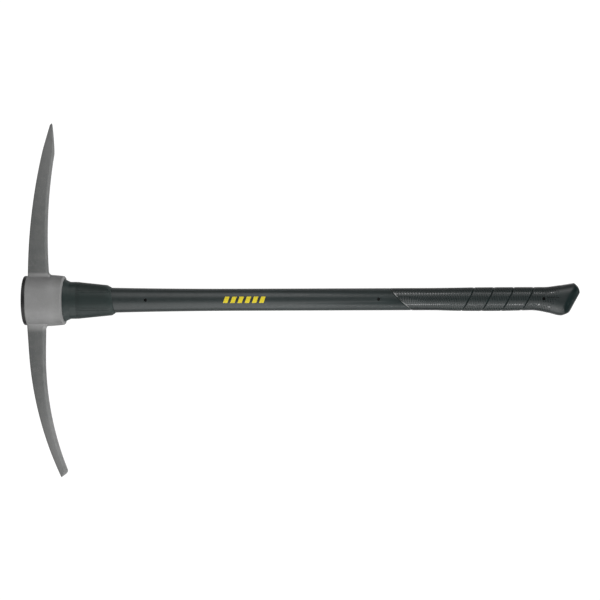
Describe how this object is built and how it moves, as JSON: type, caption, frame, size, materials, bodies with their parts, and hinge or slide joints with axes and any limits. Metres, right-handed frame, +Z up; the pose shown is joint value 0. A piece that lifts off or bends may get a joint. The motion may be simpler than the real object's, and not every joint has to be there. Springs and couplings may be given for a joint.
{
  "type": "railroad pick",
  "caption": "Long handled pick with a curved head, a point and a chisel, on an oval moulded handle with a flared knob; it lies on one cheek of its eye.",
  "frame": {"origin": "middle of the eye's lower cheek, the flat that the pick lies on", "axes": "+X along the handle from the head to the knob, +Y toward the point, -Y toward the chisel, +Z up from the cheek that the pick lies on"},
  "size_m": [0.9142, 0.5805, 0.062],
  "materials": {
    "head_paint": "satin grey paint over a steel forging",
    "guard_plastic": "matt dark moulding",
    "jacket_plastic": "satin dark grey-green moulding, finely textured at the grip",
    "fibreglass": "drawn fibreglass rod, dyed black",
    "cap_plastic": "satin black moulding"
  },
  "bodies": {
    "handle": {"handle_jacket": "jacket_plastic", "core_rod": "fibreglass", "neck_guard": "guard_plastic", "end_cap": "cap_plastic"},
    "head": {"pick_head": "head_paint"}
  },
  "joints": [
    {"name": "head_slide", "type": "slide", "parent": "handle", "child": "head", "axis": [1, 0, 0], "range_m": [0, 0.93]}
  ]
}
